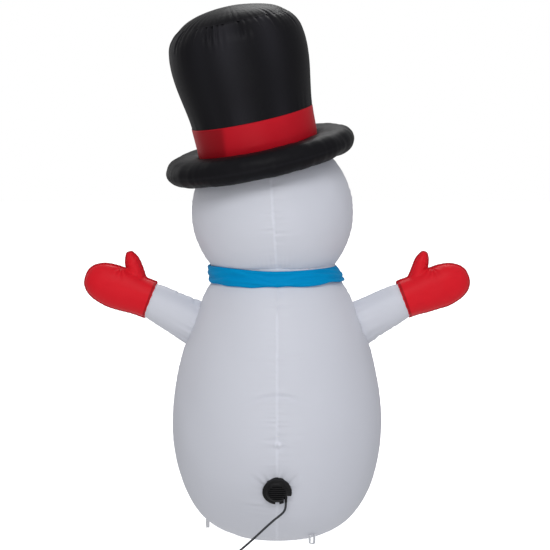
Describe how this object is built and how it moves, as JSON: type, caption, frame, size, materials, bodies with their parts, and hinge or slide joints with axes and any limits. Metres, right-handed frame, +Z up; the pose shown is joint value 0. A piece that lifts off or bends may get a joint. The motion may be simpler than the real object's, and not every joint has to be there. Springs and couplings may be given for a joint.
{
  "type": "inflatable yard snowman",
  "caption": "Inflatable snowman with a leaning top hat, red mittens and a scarf, blown up by a small low-voltage fan low on its back.",
  "frame": {"origin": "middle of the flat round base, on the ground", "axes": "+Z up through the hat, -Y the way the face looks, +X the snowman's own left"},
  "size_m": [0.8926, 0.647, 1.2176],
  "materials": {
    "white_polyester": "thin coated polyester, white, soft sheen",
    "black_polyester": "black coated polyester, satin",
    "red_band": "red satin polyester",
    "red_polyester": "red coated polyester",
    "blue_satin": "blue satin polyester",
    "coal_print": "black sewn patches",
    "orange_polyester": "orange coated polyester",
    "webbing": "white woven tape",
    "black_plastic": "black moulded plastic",
    "grey_plastic": "grey moulded plastic",
    "filter_foam": "open-cell filter foam",
    "steel": "plated steel",
    "bronze": "plain brass",
    "cord_jacket": "dark grey flexible vinyl",
    "tie_plastic": "black releasable tie",
    "lamp_glass": "frosted lamp cover"
  },
  "bodies": {
    "root": {"body_panel_back_left": "white_polyester", "body_panel_back_right": "white_polyester", "body_panel_front_left": "white_polyester", "body_panel_front_right": "white_polyester", "base_panel": "white_polyester", "neck_sleeve": "white_polyester", "shoulder_sleeve_left": "white_polyester", "shoulder_sleeve_right": "white_polyester", "scarf_band": "blue_satin", "scarf_knot": "blue_satin", "front_buttons": "coal_print", "blower_collar": "white_polyester", "blower_cover": "black_plastic", "intake_filter": "filter_foam", "clamp_ring": "black_plastic", "blower_housing": "grey_plastic", "blower_back_plate": "grey_plastic", "back_plate_screws": "steel", "shaft_bearing": "bronze", "motor_can": "steel", "cord_strain_relief": "black_plastic", "power_cord": "cord_jacket", "cord_coil": "cord_jacket", "coil_tie": "tie_plastic", "cord_tail": "cord_jacket", "adaptor_boot": "black_plastic", "power_adaptor": "black_plastic", "adaptor_prongs": "bronze", "light_strap": "webbing", "lamp_sockets": "black_plastic", "lamp_globes": "lamp_glass", "light_cable": "cord_jacket"},
    "impeller": {"impeller": "grey_plastic", "motor_shaft": "steel"},
    "head": {"head_panel_back_left": "white_polyester", "head_panel_back_right": "white_polyester", "head_panel_front_left": "white_polyester", "head_panel_front_right": "white_polyester", "hat_brim_lower": "black_polyester", "hat_brim_upper": "black_polyester", "hat_band": "red_band", "hat_crown_wall": "black_polyester", "hat_top_panel": "black_polyester", "eyes": "coal_print", "carrot_nose": "orange_polyester", "mouth_pieces": "coal_print"},
    "arm_left": {"arm_sleeve_left": "white_polyester", "mitten_left_front": "red_polyester", "mitten_left_back": "red_polyester"},
    "arm_right": {"arm_sleeve_right": "white_polyester", "mitten_right_front": "red_polyester", "mitten_right_back": "red_polyester"},
    "scarf_tail_left": {"scarf_tail_left": "blue_satin"},
    "scarf_tail_right": {"scarf_tail_right": "blue_satin"},
    "tether_loop_back": {"tether_loop_back": "webbing"},
    "tether_loop_right": {"tether_loop_right": "webbing"},
    "tether_loop_left": {"tether_loop_left": "webbing"}
  },
  "joints": [
    {"name": "impeller_spin", "type": "hinge", "parent": "root", "child": "impeller", "pos_m": [0, 0.235, 0.143], "axis": [0, 0.9272, -0.3746], "continuous": true},
    {"name": "head_sway", "type": "hinge", "parent": "root", "child": "head", "pos_m": [0.005, 0, 0.61], "axis": [0, 1, 0], "range_deg": [-6, 6], "stiffness_Nm_per_rad": 30, "deforming": ["neck_sleeve", "scarf_band"]},
    {"name": "arm_left_sway", "type": "hinge", "parent": "root", "child": "arm_left", "pos_m": [0.1955, 0, 0.489], "axis": [0, -1, 0], "range_deg": [-10, 10], "stiffness_Nm_per_rad": 3, "deforming": ["shoulder_sleeve_left"]},
    {"name": "arm_right_sway", "type": "hinge", "parent": "root", "child": "arm_right", "pos_m": [-0.1955, 0, 0.489], "axis": [0, 1, 0], "range_deg": [-10, 10], "stiffness_Nm_per_rad": 3, "deforming": ["shoulder_sleeve_right"]},
    {"name": "scarf_tail_left_swing", "type": "hinge", "parent": "root", "child": "scarf_tail_left", "pos_m": [0.03393, -0.15963, 0.583], "axis": [-0.9781, -0.2079, 0], "range_deg": [0, 70]},
    {"name": "scarf_tail_right_swing", "type": "hinge", "parent": "root", "child": "scarf_tail_right", "pos_m": [-0.03393, -0.15963, 0.583], "axis": [-0.9781, 0.2079, 0], "range_deg": [0, 70]},
    {"name": "tether_loop_back_lift", "type": "hinge", "parent": "root", "child": "tether_loop_back", "pos_m": [-0.07902, 0.14256, 0.023], "axis": [0.8746, 0.4848, 0], "range_deg": [0, 75]},
    {"name": "tether_loop_right_lift", "type": "hinge", "parent": "root", "child": "tether_loop_right", "pos_m": [-0.08395, -0.13972, 0.023], "axis": [-0.8572, 0.515, 0], "range_deg": [0, 75]},
    {"name": "tether_loop_left_lift", "type": "hinge", "parent": "root", "child": "tether_loop_left", "pos_m": [0.16298, -0.00284, 0.023], "axis": [-0.0175, -0.9998, 0], "range_deg": [0, 75]}
  ]
}
